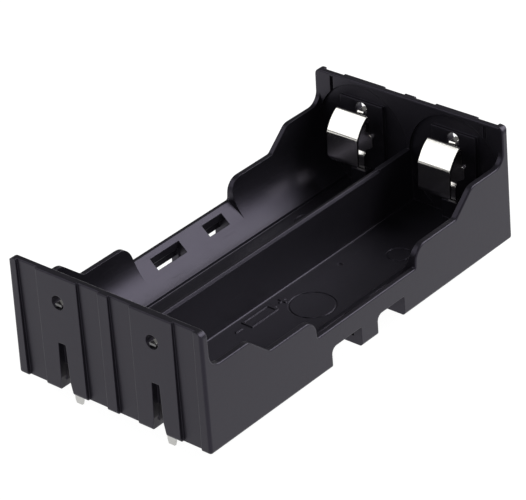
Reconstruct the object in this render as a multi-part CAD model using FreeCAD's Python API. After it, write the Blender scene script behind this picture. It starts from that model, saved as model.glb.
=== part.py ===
import FreeCAD, Part
import os
import math

V = FreeCAD.Vector

# Moulded holder for a pair of cylindrical cells, for soldering to a board.
# Millimetres. +X runs along the cells, +Z away from the board.
# Origin: middle of the plane on which the housing sits on the board (z = 0).
# d = distance measured inward from the outermost end plane,
# u = distance measured sideways from the axis of a bay.

# ---------------------------------------------------------------- dimensions
length = 77.7            # over the end panels
width = 40.0             # over the side walls at their top
foot_y = 0.3             # the side walls' outer faces widen by this to the bottom
lean_x = 0.3             # the end walls' outer faces lean inward by this to the top
height = 21.5            # board plane to the top of the end walls

bay_y = 9.8              # bay axes at y = +bay_y and -bay_y
bay_z = 11.0             # height of the bay axes
bay_r = 9.25             # trough radius
divider_z = 11.75         # crest of the thin divider between the bays
divider_top = 0.5        # half thickness of the divider at its crest
divider_foot = 0.8       # half thickness at the floor
floor_z = 2.05           # flat floor of the bays
floor_out = 3.9          # the floor is flat from the divider to this u,
                         # and from there the trough follows the cell

# end walls
wall_d = 1.75            # inner face of the end wall
relief_d = 1.25          # face of the round relief for the cell end
relief_r = 9.6
seat_d = 1.9             # face of the seat that carries a contact
seat_half = 4.6
seat_top = 18.1
strip_d = 0.7            # outer face of the lowered strips between the panels
panel_half = 4.3         # raised panel, half width, centred on a bay
post_w = 1.6             # raised strip at each corner
corner_r = 1.1           # top corners of the end walls
top_r = 0.28             # rounding of the end walls' top edges
rib_half = 1.04           # raised strip at the middle
hole_r = 1.25             # tab hole
hole_z = 16.6
slot_half = 0.8          # outer pin slot: half widths at its top,
slot_mid = 1.0           # at slot_mid_z
slot_foot = 1.5          # and at the bottom, where it is open
slot_top = 9.15
slot_mid_z = 2.4
slot_back = 1.3          # the outer slot ends here above the guide block
stem_half = 0.95         # channel around the pin stem
stem_d0 = 1.98
slot_d = 2.95
boss_half = 1.6          # guide block around the pin stem
boss_d = 3.5
boss_top = 5.4

# side walls, top profile (x from the middle, z)
low_z = 7.15
lobe_z = 10.85
shelf_z = 14.8
low_x = 12.5
ramp_x0 = 23.65
ramp_x1 = 28.0
post_x = length / 2 - wall_d
relief_plane = (15.75, 3.94, 0.89)   # sloped finger relief: y, z, slope

# underside
notch_a = (-9.4, -1.95)   # tie notches along x
notch_b = (2.2, 9.2)
notch_z = 3.65
notch_in = 16.6           # notches reach in to this |y|
window_a = (-8.8, -1.7)   # openings in the sloped trough wall
window_b = (4.2, 9.2)
window_y = (16.85, 18.6)
pocket_y = (15.2, 19.1)   # cored pockets behind the side walls
core_r = 10.55            # outside of the trough shell
rib_t = 1.2

# contacts
sheet = 0.4
leaf_w = 6.6
plate_w = 4.8
stem_w = 1.6
tab_w = 1.3
pin_z = -3.4
stem_d = 2.6             # middle of the stem sheet
plate_d = seat_d + sheet / 2

h = length / 2
w = width / 2


# ------------------------------------------------------------------- helpers
def box(x0, x1, y0, y1, z0, z1):
    return Part.makeBox(x1 - x0, y1 - y0, z1 - z0, V(x0, y0, z0))


def rounded(points, plane="xz", at=0.0):
    """Closed wire through (a, b, radius) corners, each rounded by its radius."""
    def p3(a, b):
        return V(a, at, b) if plane == "xz" else V(at, a, b)
    n = len(points)
    edges = []
    last = None
    first = None
    for i in range(n):
        a0, b0, _ = points[i - 1]
        a1, b1, r = points[i]
        a2, b2, _ = points[(i + 1) % n]
        v1 = (a0 - a1, b0 - b1)
        v2 = (a2 - a1, b2 - b1)
        l1 = math.hypot(*v1)
        l2 = math.hypot(*v2)
        v1 = (v1[0] / l1, v1[1] / l1)
        v2 = (v2[0] / l2, v2[1] / l2)
        if r > 0:
            cosang = v1[0] * v2[0] + v1[1] * v2[1]
            ang = math.acos(max(-1, min(1, cosang)))
            t = r / math.tan(ang / 2)
            s = (a1 + v1[0] * t, b1 + v1[1] * t)
            e = (a1 + v2[0] * t, b1 + v2[1] * t)
            bis = (v1[0] + v2[0], v1[1] + v2[1])
            lb = math.hypot(*bis)
            c = r / math.sin(ang / 2)
            m = (a1 + bis[0] / lb * (c - r), b1 + bis[1] / lb * (c - r))
        else:
            s = e = (a1, b1)
            m = None
        if last is not None and math.hypot(s[0] - last[0], s[1] - last[1]) > 1e-6:
            edges.append(Part.makeLine(p3(*last), p3(*s)))
        if m is not None:
            edges.append(Part.Arc(p3(*s), p3(*m), p3(*e)).toShape())
        if first is None:
            first = s
        last = e
    if math.hypot(first[0] - last[0], first[1] - last[1]) > 1e-6:
        edges.append(Part.makeLine(p3(*last), p3(*first)))
    return Part.Wire(edges)


def prism_y(points, y0, y1):
    face = Part.Face(rounded(points, "xz", y0))
    return face.extrude(V(0, y1 - y0, 0))


def prism_x(points, x0, x1):
    face = Part.Face(rounded(points, "yz", x0))
    return face.extrude(V(x1 - x0, 0, 0))


def cyl_x(r, y, z, x0, x1):
    return Part.makeCylinder(r, x1 - x0, V(x0, y, z), V(1, 0, 0))


def mirror_x(s):
    return s.mirror(V(0, 0, 0), V(1, 0, 0))


def mirror_y(s):
    return s.mirror(V(0, 0, 0), V(0, 1, 0))


def round_edges(solid, radius, keep):
    edges = [e for e in solid.Edges if keep(e)]
    if not edges:
        return solid
    return solid.makeFillet(radius, edges)


# ------------------------------------------------------------------- housing
body = prism_x([(-w - foot_y, 0, 0), (w + foot_y, 0, 0), (w, height - corner_r, 0),
                (w, height, 0), (-w, height, 0), (-w, height - corner_r, 0)], -h, h)
body = body.common(prism_y([(-h, 0, 0), (h, 0, 0), (h - lean_x, height, 0),
                            (lean_x - h, height, 0)], -w - 1, w + 1))


def outer_edge(e):
    b = e.BoundBox
    upright = b.ZLength > 0.5 and b.XLength < lean_x + 0.01 and b.YLength < foot_y + 0.01
    bottom = b.ZMax < 0.01
    return upright or bottom


body = round_edges(body, 0.55, outer_edge)

# lowered strips on the outside of both end walls
for sign in (1, -1):
    strips = [(bay_y + panel_half, w - post_w),
              (rib_half, bay_y - panel_half)]
    for a, b in strips:
        for y0, y1 in ((a, b), (-b, -a)):
            cut = prism_x([(y0, -1, 0), (y1, -1, 0), (y1, height + 1, 0),
                           (y0, height + 1, 0)], h - strip_d, h + 1)
            body = body.cut(cut if sign > 0 else mirror_x(cut))
# top corners of the end walls
for y in (1, -1):
    block = box(h - 2.6, h + 1, w - corner_r, w + 1, height - corner_r, height + 1)
    if y < 0:
        block = mirror_y(block)
    block = block.cut(cyl_x(corner_r, y * (w - corner_r), height - corner_r, h - 3, h + 2))
    body = body.cut(block)
    body = body.cut(mirror_x(block))

# side walls: everything above the top profile
prof = [(-post_x, height + 2, 0), (post_x, height + 2, 0)]
right = [(post_x, shelf_z, 2.4), (ramp_x1 + 0.2, shelf_z, 2.2),
         (ramp_x0, lobe_z, 1.0), (low_x + 0.35, lobe_z, 2.6), (low_x, low_z, 0.35)]
left = [(-a, b, r) for a, b, r in reversed(right)]
cut = prism_y(prof + right + left, w - 3.0, w + 1)
body = body.cut(cut)
body = body.cut(mirror_y(cut))

# bays: flat floor beside the divider, curved flank on the outer side
inside = h - wall_d
curve = cyl_x(bay_r, bay_y, bay_z, -inside, inside).common(
    box(-inside, inside, bay_y + floor_out - 0.2, w, floor_z, bay_z))
flat = prism_x([(divider_foot, floor_z, 0.3), (bay_y + floor_out, floor_z, 0.12),
                (bay_y + floor_out, bay_z + 0.5, 0), (bay_y + bay_r, bay_z + 0.5, 0),
                (bay_y + bay_r, height + 1, 0), (0.2, height + 1, 0),
                (0.2, divider_z + 0.5, 0), (divider_top, divider_z, 0)],
               -inside, inside)
upper = box(-inside, inside, bay_y, bay_y + bay_r, bay_z, bay_z + 0.6)
bay = curve.fuse(flat).fuse(upper)
body = body.cut(bay)
body = body.cut(mirror_y(bay))
# between the bays above the crest of the divider
body = body.cut(box(-inside, inside, -2, 2, divider_z, height + 1))
# crest of the divider is bevelled, except close to the end walls
bev = prism_x([(0.18, divider_z + 0.1, 0), (1.2, divider_z + 0.1, 0),
               (1.2, divider_z - 0.6, 0), (0.5, divider_z - 0.45, 0)], -28.5, 28.5)
body = body.cut(bev)
body = body.cut(mirror_y(bev))

# end walls: round relief for the cell end, contact seat, boss at the pin stem
for y in (bay_y, -bay_y):
    relief = cyl_x(relief_r, y, bay_z + 0.15, h - wall_d - 0.01, h - relief_d)
    low = box(h - wall_d - 1, h, y - 12, y + 12, -1, 2.6)
    relief = relief.cut(low)
    body = body.cut(relief)
    body = body.cut(mirror_x(relief))
    seat = box(h - seat_d, h - 0.9, y - seat_half, y + seat_half, 1.0, seat_top)
    boss = box(h - boss_d, h - 0.9, y - boss_half, y + boss_half, 1.0, boss_top)
    body = body.fuse(seat).fuse(boss)
    body = body.fuse(mirror_x(seat)).fuse(mirror_x(boss))
for y in (w - 3.75, -(w - 3.75)):
    # short upright groove beside each corner
    groove = box(h - wall_d - 0.5, h - wall_d + 0.45, y - 0.35, y + 0.35, 17.6, height - 0.5)
    body = body.cut(groove)
    body = body.cut(mirror_x(groove))

# tab holes and pin slots through the end walls
for y in (bay_y, -bay_y):
    hole = cyl_x(hole_r, y, hole_z, h - 3.0, h + 1)
    slot = prism_x([(y - slot_foot, -1, 0), (y + slot_foot, -1, 0), (y + slot_foot, 0, 0),
                    (y + slot_mid, slot_mid_z, 0), (y + slot_half, slot_top, 0.2),
                    (y - slot_half, slot_top, 0.2), (y - slot_mid, slot_mid_z, 0),
                    (y - slot_foot, 0, 0)], h - slot_back, h + 1)
    foot = prism_x([(y - slot_foot, -1, 0), (y + slot_foot, -1, 0), (y + slot_foot, 0, 0),
                    (y + 1.2, 1.4, 0), (y - 1.2, 1.4, 0), (y - slot_foot, 0, 0)],
                   h - slot_d, h + 1)
    slot = slot.fuse(foot)
    channel = box(h - slot_d, h - slot_back + 0.1, y - stem_half, y + stem_half, -1, 4.6)
    channel = channel.fuse(box(h - slot_d, h - stem_d0, y - stem_half, y + stem_half,
                               4.5, boss_top + 1))
    body = body.cut(hole).cut(slot).cut(channel)
    body = body.cut(mirror_x(hole)).cut(mirror_x(slot)).cut(mirror_x(channel))

# finger relief: the low middle of each side wall slopes away from the trough
ry, rz, rs = relief_plane
ztop = 9.0
slope = prism_x([(ry, rz, 0), (ry + (ztop - rz) / rs, ztop, 0), (ry, ztop, 0)],
                -low_x, low_x)
body = body.cut(slope)
body = body.cut(mirror_y(slope))

# tie notches through the bottom of both side walls
for x0, x1 in (notch_a, notch_b):
    prof = [(x0, -1, 0), (x1, -1, 0), (x1, notch_z, 0.25), (x0, notch_z, 1.2)]
    notch = prism_y(prof, notch_in, w + 1)
    body = body.cut(notch)
    body = body.cut(mirror_y(notch))

# openings in the sloped wall above the notches
for (x0, x1), (a0, a1) in ((window_a, notch_a), (window_b, notch_b)):
    win = box(x0, x1, window_y[0], window_y[1], 1.5, 8.0)
    body = body.cut(win)
    body = body.cut(mirror_y(win))

# cored pockets on the underside
shell = cyl_x(core_r, bay_y, bay_z, -h, h)
guard = prism_x([(ry - 1.5, rz - 1.5 * rs - 1.35, 0), (ry + 5, rz + 5 * rs - 1.35, 0),
                 (ry + 5, 12, 0), (ry - 1.5, 12, 0)], -low_x - rib_t, low_x + rib_t)
for x0, x1 in ((-(h - 3.3), notch_a[0] - rib_t), notch_a, notch_b,
               (notch_b[1] + rib_t, h - 3.3)):
    if (x0, x1) in (notch_a, notch_b):
        pocket = box(x0, x1, pocket_y[0], pocket_y[1], -1, 5.4)
        pocket = pocket.cut(shell).cut(guard)
    else:
        mid = (x0 + x1) / 2
        pocket = box(x0, mid - rib_t / 2, pocket_y[0], pocket_y[1], -1, 5.4).fuse(
            box(mid + rib_t / 2, x1, pocket_y[0], pocket_y[1], -1, 5.4))
        pocket = pocket.cut(shell).cut(guard)
    body = body.cut(pocket)
    body = body.cut(mirror_y(pocket))

# shallow round marks on the floors of the bays
for x, y, r in ((0.7, -7.95, 4.05), (21.1, -9.9, 2.2), (-21.1, -9.9, 2.2),
                (21.1, 9.9, 2.2), (-21.1, 9.9, 2.2)):
    ring = Part.makeCylinder(r, 4.0, V(x, y, floor_z - 0.12))
    inner = Part.makeCylinder(r - 0.3, 6.0, V(x, y, floor_z - 1.0))
    body = body.cut(ring.cut(inner))
body = body.cut(Part.makeCylinder(0.45, 4.0, V(13.1, -3.75, floor_z - 0.15)))

# raised polarity mark beside the divider: outline of a cell, a plus and a minus
mark_x, mark_y, mark_len, mark_wid, mark_t, mark_h = -6.8, -3.1, 6.6, 2.4, 0.36, 0.14
zb, zt = floor_z - 0.2, floor_z + mark_h
marks = box(mark_x - mark_len / 2, mark_x + mark_len / 2,
            mark_y - mark_wid / 2, mark_y + mark_wid / 2, zb, zt)
marks = marks.cut(box(mark_x - mark_len / 2 + mark_t, mark_x + mark_len / 2 - mark_t,
                      mark_y - mark_wid / 2 + mark_t, mark_y + mark_wid / 2 - mark_t,
                      zb - 1, zt + 1))
marks = marks.fuse(box(mark_x + mark_len / 2 - 0.05, mark_x + mark_len / 2 + 0.55,
                       mark_y - 0.45, mark_y + 0.45, zb, zt))
for cx, arms in ((mark_x + mark_len / 2 + 2.4, 2), (mark_x - mark_len / 2 - 1.9, 1)):
    marks = marks.fuse(box(cx - 0.85, cx + 0.85, mark_y - mark_t / 2,
                           mark_y + mark_t / 2, zb, zt))
    if arms == 2:
        marks = marks.fuse(box(cx - mark_t / 2, cx + mark_t / 2, mark_y - 0.85,
                               mark_y + 0.85, zb, zt))
body = body.fuse(marks).fuse(mirror_y(marks))

body = body.removeSplitter()


def top_edge(e):
    b = e.BoundBox
    return b.ZMin > height - 0.001 and b.YLength > 1.3 and b.XLength < 0.01


housing = round_edges(body, top_r, top_edge)


# ------------------------------------------------------------------ contacts
def strip_face(start, heading, moves, t):
    """Sheet of thickness t along a path of lines and arcs in the d-z plane."""
    x, z = start
    a = math.radians(heading)
    left = []
    right = []

    def off(px, pz, ang, s):
        return (px - math.sin(ang) * s, pz + math.cos(ang) * s)
    s = t / 2
    for m in moves:
        if m[0] == "L":
            nx, nz = x + math.cos(a) * m[1], z + math.sin(a) * m[1]
            left.append(("L", off(x, z, a, s), off(nx, nz, a, s)))
            right.append(("L", off(x, z, a, -s), off(nx, nz, a, -s)))
            x, z = nx, nz
        else:
            r, turn = m[1], math.radians(m[2])      # + turns left
            k = 1 if turn > 0 else -1
            cx, cz = off(x, z, a, k * r)
            def at(ang, side):
                px = cx + math.sin(ang) * k * r
                pz = cz - math.cos(ang) * k * r
                return off(px, pz, ang, side)
            left.append(("A", at(a, s), at(a + turn / 2, s), at(a + turn, s)))
            right.append(("A", at(a, -s), at(a + turn / 2, -s), at(a + turn, -s)))
            a += turn
            x = cx + math.sin(a) * k * r
            z = cz - math.cos(a) * k * r

    def p3(p):
        return V(p[0], 0, p[1])
    edges = []
    for seg in left + [("L", left[-1][-1], right[-1][-1])]:
        if seg[0] == "L":
            edges.append(Part.makeLine(p3(seg[1]), p3(seg[2])))
        else:
            edges.append(Part.Arc(p3(seg[1]), p3(seg[2]), p3(seg[3])).toShape())
    for seg in reversed(right):
        if seg[0] == "L":
            edges.append(Part.makeLine(p3(seg[2]), p3(seg[1])))
        else:
            edges.append(Part.Arc(p3(seg[3]), p3(seg[2]), p3(seg[1])).toShape())
    edges.append(Part.makeLine(p3(right[0][1]), p3(left[0][1])))
    return Part.Face(Part.Wire(edges))


# one folded strip: pin, stem with a small joggle, plate, top fold, leaf, curled end
joggle_z, joggle_r, bend = 7.6, 0.6, math.radians(34)
plate_z = 14.53          # the plate ends here and the strip leans inward
step = ((stem_d - plate_d) - 2 * joggle_r * (1 - math.cos(bend))) / math.sin(bend)
joggle_h = 2 * joggle_r * math.sin(bend) + step * math.cos(bend)
path = [("L", joggle_z - pin_z), ("A", joggle_r, 34), ("L", step), ("A", joggle_r, -34),
        ("L", plate_z - joggle_z - joggle_h), ("A", 0.9, -48), ("L", 2.492),
        ("A", 0.25, -72), ("A", 5.8, -28), ("L", 1.03), ("A", 1.0, -30), ("L", 4.1),
        ("A", 1.5, -42)]
face = strip_face((stem_d, pin_z), 90, path, sheet)
big = face.extrude(V(0, leaf_w, 0))
big.translate(V(0, -leaf_w / 2, 0))

# outline of pin, stem and plate seen along x
neck_x = 3.6             # from here on the strip has the leaf's full width
out_half = [(0.60, pin_z, 0), (stem_w / 2, pin_z + 0.7, 0), (stem_w / 2, 8.9, 0.4),
            (plate_w / 2, 9.9, 0.5), (plate_w / 2, 11.7, 0.5),
            (1.9, 12.3, 0.4), (1.9, 19, 0)]
outline = out_half + [(-a, b, r) for a, b, r in reversed(out_half)]
back = prism_x(outline, 1.0, neck_x)
front = box(neck_x, 8.0, -leaf_w / 2, leaf_w / 2, 6.0, 19.0)
blank = big.common(back.fuse(front))

# corners of the free end of the leaf are rounded
tip = min(v.Z for v in blank.Vertexes if v.X > 5.0)
for s in (1, -1):
    c = Part.makeBox(6, 1.0, 1.0, V(5.0, s * leaf_w / 2 - (1.0 if s > 0 else 0), tip - 0.05))
    q = Part.makeCylinder(1.0, 6, V(5.0, s * (leaf_w / 2 - 1.0), tip + 0.95), V(1, 0, 0))
    blank = blank.cut(c.cut(q))

# locking tab: cut free from the leaning part, upright, then bent outward into the hole
tab_z = hole_z - 0.5
blank = blank.cut(box(1.0, 4.0, -tab_w / 2 - 0.12, tab_w / 2 + 0.12, 14.7, 16.95))
tab = strip_face((plate_d, 14.1), 90,
                 [("L", tab_z - 0.25 - 14.1), ("A", 0.25, 90), ("L", 1.5)], sheet)
tab = tab.extrude(V(0, tab_w, 0))
tab.translate(V(0, -tab_w / 2, 0))
contact = blank.fuse(tab).removeSplitter()


def place(shape, end, y):
    s = shape.copy()
    if end > 0:
        # d grows toward -x
        s = s.mirror(V(0, 0, 0), V(1, 0, 0))
        s.translate(V(h, y, 0))
    else:
        s.translate(V(-h, y, 0))
    return s


nodes = {
    "housing": housing,
    "contact_near_left": place(contact, -1, bay_y),
    "contact_near_right": place(contact, -1, -bay_y),
    "contact_far_left": place(contact, 1, bay_y),
    "contact_far_right": place(contact, 1, -bay_y),
}

os.makedirs("parts", exist_ok=True)
for name, shape in nodes.items():
    if shape.ShapeType != "Solid" and len(shape.Solids) == 1:
        shape = shape.Solids[0]
    b = shape.BoundBox
    print(name, shape.ShapeType, len(shape.Solids), shape.isValid(),
          round(shape.Volume, 2), [round(v, 2) for v in
          (b.XMin, b.XMax, b.YMin, b.YMax, b.ZMin, b.ZMax)])
    shape.exportStep("parts/%s.step" % name)
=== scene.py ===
import math

import bmesh
import bpy
from mathutils import Matrix, Vector

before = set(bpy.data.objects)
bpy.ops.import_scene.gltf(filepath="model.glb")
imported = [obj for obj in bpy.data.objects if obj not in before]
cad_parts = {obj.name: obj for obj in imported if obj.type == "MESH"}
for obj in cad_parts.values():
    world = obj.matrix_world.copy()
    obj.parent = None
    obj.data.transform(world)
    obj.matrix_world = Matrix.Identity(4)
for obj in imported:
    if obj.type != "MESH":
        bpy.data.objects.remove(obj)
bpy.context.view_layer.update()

MM = 0.001


# ------------------------------------------------------------------ node help
class Tree:
    """Short hand for building a material's nodes."""

    def __init__(self, name):
        self.mat = bpy.data.materials.new(name)
        self.mat.use_nodes = True
        self.nt = self.mat.node_tree
        self.nt.nodes.clear()
        self.out = self.nt.nodes.new("ShaderNodeOutputMaterial")
        self.bsdf = self.nt.nodes.new("ShaderNodeBsdfPrincipled")
        self.link(self.bsdf.outputs[0], self.out.inputs["Surface"])
        coord = self.nt.nodes.new("ShaderNodeTexCoord")
        self.mm = self.vec("SCALE", coord.outputs["Object"], scale=1000.0)

    def link(self, a, b):
        self.nt.links.new(a, b)

    def put(self, node, key, value):
        s = node.inputs[key]
        if isinstance(value, bpy.types.NodeSocket):
            self.link(value, s)
        else:
            s.default_value = value

    def vec(self, op, a, b=None, scale=None):
        n = self.nt.nodes.new("ShaderNodeVectorMath")
        n.operation = op
        self.put(n, 0, a)
        if b is not None:
            self.put(n, 1, b)
        if scale is not None:
            n.inputs["Scale"].default_value = scale
        return n.outputs["Value"] if op in ("DOT_PRODUCT", "LENGTH") else n.outputs["Vector"]

    def math(self, op, a, b=0.0, c=0.0, clamp=False):
        n = self.nt.nodes.new("ShaderNodeMath")
        n.operation = op
        n.use_clamp = clamp
        self.put(n, 0, a)
        self.put(n, 1, b)
        self.put(n, 2, c)
        return n.outputs[0]

    def noise(self, scale, detail=2.0, rough=0.5, stretch=None, distort=0.0):
        n = self.nt.nodes.new("ShaderNodeTexNoise")
        v = self.mm
        if stretch:
            v = self.vec("MULTIPLY", v, stretch)
        self.link(v, n.inputs["Vector"])
        n.inputs["Scale"].default_value = scale
        n.inputs["Detail"].default_value = detail
        n.inputs["Roughness"].default_value = rough
        n.inputs["Distortion"].default_value = distort
        return n.outputs["Fac"]

    def ramp(self, fac, lo, hi, a=0.0, b=1.0):
        n = self.nt.nodes.new("ShaderNodeMapRange")
        n.clamp = True
        self.put(n, "Value", fac)
        n.inputs["From Min"].default_value = lo
        n.inputs["From Max"].default_value = hi
        n.inputs["To Min"].default_value = a
        n.inputs["To Max"].default_value = b
        return n.outputs["Result"]

    def mix(self, fac, a, b):
        n = self.nt.nodes.new("ShaderNodeMix")
        n.data_type = "RGBA"
        self.put(n, "Factor", fac)
        self.put(n, "A", a if isinstance(a, bpy.types.NodeSocket) else (*a, 1.0))
        self.put(n, "B", b if isinstance(b, bpy.types.NodeSocket) else (*b, 1.0))
        return n.outputs["Result"]

    def bevel(self, radius, samples=6):
        n = self.nt.nodes.new("ShaderNodeBevel")
        n.samples = samples
        n.inputs["Radius"].default_value = radius
        return n.outputs["Normal"]

    def bump(self, height, distance, strength=1.0, normal=None):
        n = self.nt.nodes.new("ShaderNodeBump")
        n.inputs["Strength"].default_value = strength
        n.inputs["Distance"].default_value = distance
        self.link(height, n.inputs["Height"])
        if normal is not None:
            self.link(normal, n.inputs["Normal"])
        return n.outputs["Normal"]


# ------------------------------------------------------------------ materials
def moulded_plastic():
    t = Tree("moulded_plastic")
    geo = t.nt.nodes.new("ShaderNodeNewGeometry")
    soft = t.bevel(0.35 * MM, 6)
    turn = t.math("SUBTRACT", 1.0, t.vec("DOT_PRODUCT", soft, geo.outputs["Normal"]))
    cloud = t.noise(0.09, 3.0, 0.55)
    blotch = t.noise(0.8, 4.0, 0.6)
    grain = t.noise(7.0, 3.0, 0.6)
    fine = t.noise(19.0, 2.0, 0.5)
    scuff = t.noise(1.3, 2.0, 0.5, stretch=(0.12, 2.6, 2.6), distort=0.4)
    scuff2 = t.noise(1.1, 2.0, 0.5, stretch=(3.2, 0.15, 0.9), distort=0.5)
    lines = t.math("MAXIMUM", t.ramp(scuff, 0.66, 0.74), t.ramp(scuff2, 0.68, 0.76))
    # lighter band along every edge the bevel normal turns at, convex and concave alike: partly
    # edge wear, partly a painted edge highlight (creases included), patchy by blotch noise
    wear_and_edge_highlight = t.math("MULTIPLY", t.ramp(turn, 0.012, 0.16), t.ramp(blotch, 0.36, 0.68, 0.15, 1.0))

    base = t.mix(t.ramp(cloud, 0.35, 0.65), (0.0064, 0.0059, 0.0079), (0.0086, 0.0080, 0.0105))
    base = t.mix(t.ramp(grain, 0.3, 0.7, 0.0, 0.35), base, (0.0135, 0.0126, 0.0160))
    base = t.mix(t.math("MULTIPLY", lines, 0.18), base, (0.036, 0.035, 0.039))
    # painted edge highlight mixed with edge wear: edges get a lighter base colour
    base = t.mix(t.math("MULTIPLY", wear_and_edge_highlight, 0.28), base, (0.042, 0.040, 0.046))
    t.link(base, t.bsdf.inputs["Base Color"])

    rough = t.ramp(cloud, 0.3, 0.7, 0.33, 0.39)
    rough = t.math("ADD", rough, t.ramp(grain, 0.3, 0.7, -0.03, 0.04))
    rough = t.math("ADD", rough, t.math("MULTIPLY", lines, 0.08))
    rough = t.math("ADD", rough, t.math("MULTIPLY", wear_and_edge_highlight, -0.06))
    t.link(rough, t.bsdf.inputs["Roughness"])
    t.bsdf.inputs["IOR"].default_value = 1.5
    t.bsdf.inputs["Specular Tint"].default_value = (0.49, 0.445, 0.605, 1.0)

    height = t.math("ADD", t.math("MULTIPLY", grain, 0.55), t.math("MULTIPLY", fine, 0.3))
    height = t.math("ADD", height, t.math("MULTIPLY", lines, -0.15))
    edge = t.bevel(0.16 * MM, 8)
    n1 = t.bump(height, 0.010 * MM, 0.55, edge)
    n2 = t.bump(blotch, 0.030 * MM, 0.35, n1)
    t.link(n2, t.bsdf.inputs["Normal"])
    return t.mat


def plated_sheet():
    t = Tree("plated_sheet")
    geo = t.nt.nodes.new("ShaderNodeNewGeometry")
    soft = t.bevel(0.12 * MM, 6)
    turn = t.math("SUBTRACT", 1.0, t.vec("DOT_PRODUCT", soft, geo.outputs["Normal"]))
    edge = t.ramp(turn, 0.02, 0.2)
    cloud = t.noise(0.35, 3.0, 0.6)
    speck = t.noise(6.0, 3.0, 0.6)
    rolled = t.noise(1.0, 3.0, 0.65, stretch=(1.6, 14.0, 1.6))
    base = t.mix(t.ramp(cloud, 0.3, 0.7), (0.80, 0.79, 0.76), (0.72, 0.70, 0.66))
    base = t.mix(t.ramp(speck, 0.62, 0.74, 0.0, 0.35), base, (0.55, 0.52, 0.47))
    base = t.mix(t.math("MULTIPLY", edge, 0.4), base, (0.86, 0.85, 0.83))
    # sheared end of the tab and the tinned part of the pins are duller
    where = t.nt.nodes.new("ShaderNodeSeparateXYZ")
    t.link(t.mm, where.inputs[0])
    sheared = t.ramp(t.math("ABSOLUTE", where.outputs["X"]), 38.30, 38.42)
    tinned = t.ramp(where.outputs["Z"], 0.2, -1.2)
    base = t.mix(t.math("MULTIPLY", tinned, 0.8), base, (0.50, 0.50, 0.49))
    base = t.mix(sheared, base, (0.16, 0.16, 0.16))
    t.link(base, t.bsdf.inputs["Base Color"])
    t.bsdf.inputs["Metallic"].default_value = 1.0
    rough = t.ramp(cloud, 0.3, 0.7, 0.13, 0.19)
    rough = t.math("ADD", rough, t.math("MULTIPLY", t.math("MAXIMUM", sheared, tinned), 0.3))
    rough = t.math("ADD", rough, t.ramp(rolled, 0.3, 0.7, -0.03, 0.05))
    rough = t.math("ADD", rough, t.math("MULTIPLY", edge, 0.06))
    t.link(rough, t.bsdf.inputs["Roughness"])
    n1 = t.bump(rolled, 0.004 * MM, 0.5, t.bevel(0.07 * MM, 8))
    n2 = t.bump(speck, 0.003 * MM, 0.4, n1)
    t.link(n2, t.bsdf.inputs["Normal"])
    return t.mat


def studio_floor():
    t = Tree("studio_floor")
    cloud = t.noise(0.01, 2.0, 0.5)
    t.link(t.mix(t.ramp(cloud, 0.3, 0.7), (0.10, 0.10, 0.10), (0.12, 0.12, 0.12)),
           t.bsdf.inputs["Base Color"])
    t.bsdf.inputs["Emission Color"].default_value = (1.0, 1.0, 1.0, 1.0)
    t.bsdf.inputs["Emission Strength"].default_value = 0.97
    t.bsdf.inputs["Roughness"].default_value = 0.75
    t.bsdf.inputs["Specular IOR Level"].default_value = 0.2
    return t.mat


plastic = moulded_plastic()
metal = plated_sheet()


def dress(obj, mat):
    obj.data.materials.clear()
    obj.data.materials.append(mat)
    for p in obj.data.polygons:
        p.material_index = 0


for name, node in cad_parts.items():
    dress(node, plastic if name == "housing" else metal)


# ---------------------------------------------------------------------- floor
me = bpy.data.meshes.new("floor")
bm = bmesh.new()
size, cells = 3.0, 12
grid = [[bm.verts.new(((i / cells - 0.5) * size, (j / cells - 0.5) * size, -3.43 * MM))
         for j in range(cells + 1)] for i in range(cells + 1)]
for i in range(cells):
    for j in range(cells):
        bm.faces.new((grid[i][j], grid[i + 1][j], grid[i + 1][j + 1], grid[i][j + 1]))
bm.to_mesh(me)
bm.free()
floor = bpy.data.objects.new("floor", me)
floor.data.materials.append(studio_floor())
bpy.context.scene.collection.objects.link(floor)


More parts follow.
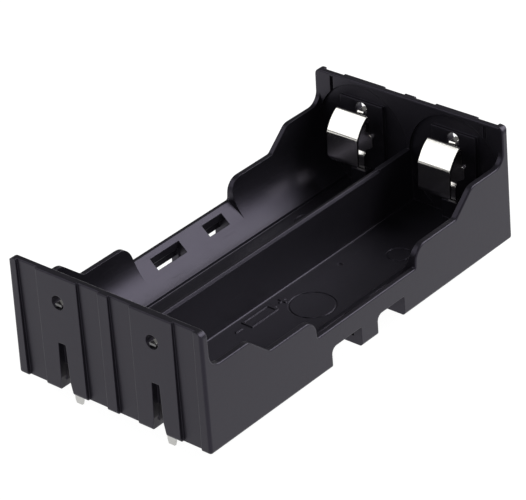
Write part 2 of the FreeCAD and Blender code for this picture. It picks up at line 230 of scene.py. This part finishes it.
# ---------------------------------------------------------------------- light
world = bpy.data.worlds.new("studio")
bpy.context.scene.world = world
world.use_nodes = True
bg = world.node_tree.nodes["Background"]
bg.inputs["Color"].default_value = (1.0, 1.0, 1.0, 1.0)
bg.inputs["Strength"].default_value = 0.14


def area(name, where, aim, size, power, colour=(1, 1, 1)):
    data = bpy.data.lights.new(name, "AREA")
    data.shape = "RECTANGLE"
    data.size, data.size_y = size
    data.energy = power
    data.color = colour
    obj = bpy.data.objects.new(name, data)
    bpy.context.scene.collection.objects.link(obj)
    obj.location = Vector(where)
    obj.rotation_mode = "QUATERNION"
    obj.rotation_quaternion = (Vector(aim) - Vector(where)).to_track_quat("-Z", "Y")
    return obj


def toward(direction, distance, aim=(0.0, 0.0, 0.01)):
    d = Vector(direction).normalized()
    return tuple(Vector(aim) + d * distance)


area("key", toward((0.65, -0.417, 0.641), 0.60), (0, 0, 0.01), (0.62, 0.42), 5.0)
area("back", toward((-0.50, 0.60, 0.61), 0.60), (0, 0, 0.01), (0.52, 0.52), 1.35)
area("fill", toward((-0.64, -0.58, 0.51), 1.00), (0, 0, 0.01), (0.14, 0.14), 1.1)


# --------------------------------------------------------------------- camera
az, el, roll = math.radians(-47.798), math.radians(30.911), math.radians(-4.181)
dist, tx, ty = 455.816, 1.009, -0.117
back = Vector((math.sin(az) * math.cos(el), -math.cos(az) * math.cos(el), math.sin(el)))
right = Vector((0, 0, 1)).cross(back).normalized()
up = back.cross(right)
cx = math.cos(roll) * right + math.sin(roll) * up
cy = -math.sin(roll) * right + math.cos(roll) * up
eye = Vector((0, 0, 10.0)) - cx * tx - cy * ty + back * dist
cam_data = bpy.data.cameras.new("camera")
cam = bpy.data.objects.new("camera", cam_data)
bpy.context.scene.collection.objects.link(cam)
cam_data.sensor_width = 36.0
cam_data.lens = 2809.28 / 526 * 36.0
cam_data.clip_start, cam_data.clip_end = 0.01, 20.0
cam.rotation_mode = "QUATERNION"
cam.rotation_quaternion = Matrix((cx, cy, back)).transposed().to_quaternion()
cam.location = eye * MM
bpy.context.scene.camera = cam

scene = bpy.context.scene
scene.view_settings.view_transform = "Standard"
scene.view_settings.look = "None"
scene.view_settings.exposure = 0.0
scene.view_settings.gamma = 1.0
